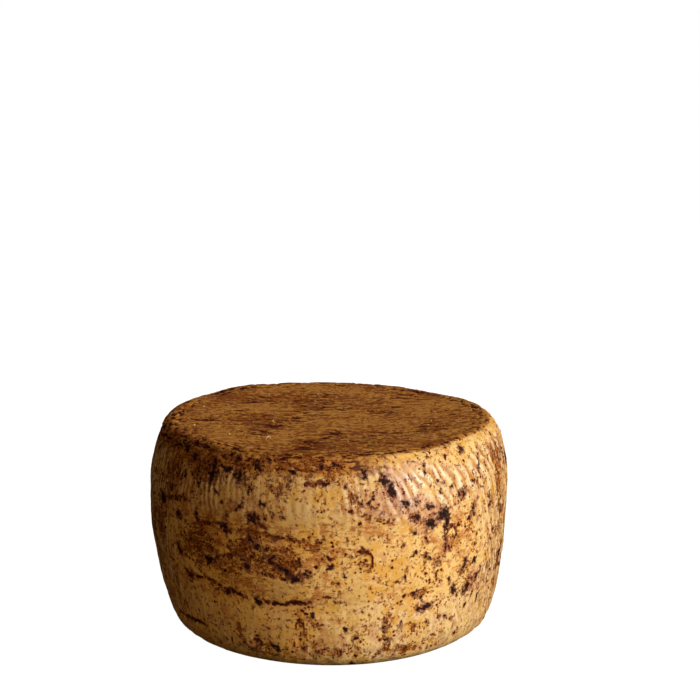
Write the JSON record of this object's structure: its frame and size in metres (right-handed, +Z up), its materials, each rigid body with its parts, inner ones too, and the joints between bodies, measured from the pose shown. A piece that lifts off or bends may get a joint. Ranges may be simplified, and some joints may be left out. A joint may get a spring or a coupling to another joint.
{
  "type": "cheese wheel",
  "caption": "Whole aged cheese wheel, a low drum with a bulging side, rounded foot, crisp shoulder and dry wrinkled rind, standing flat.",
  "frame": {"origin": "middle of the wheel's box, at the level of the flat base that it stands on", "axes": "+Z up along the wheel's short axis, from base to top; the front that shows in the picture faces -Y"},
  "size_m": [0.2186, 0.2196, 0.1299],
  "materials": {
    "rind": "dry natural rind, ochre gold with dark mould specks and brown stains, lightly oiled, low gloss"
  },
  "bodies": {
    "root": {"cheese_wheel": "rind"}
  },
  "joints": []
}
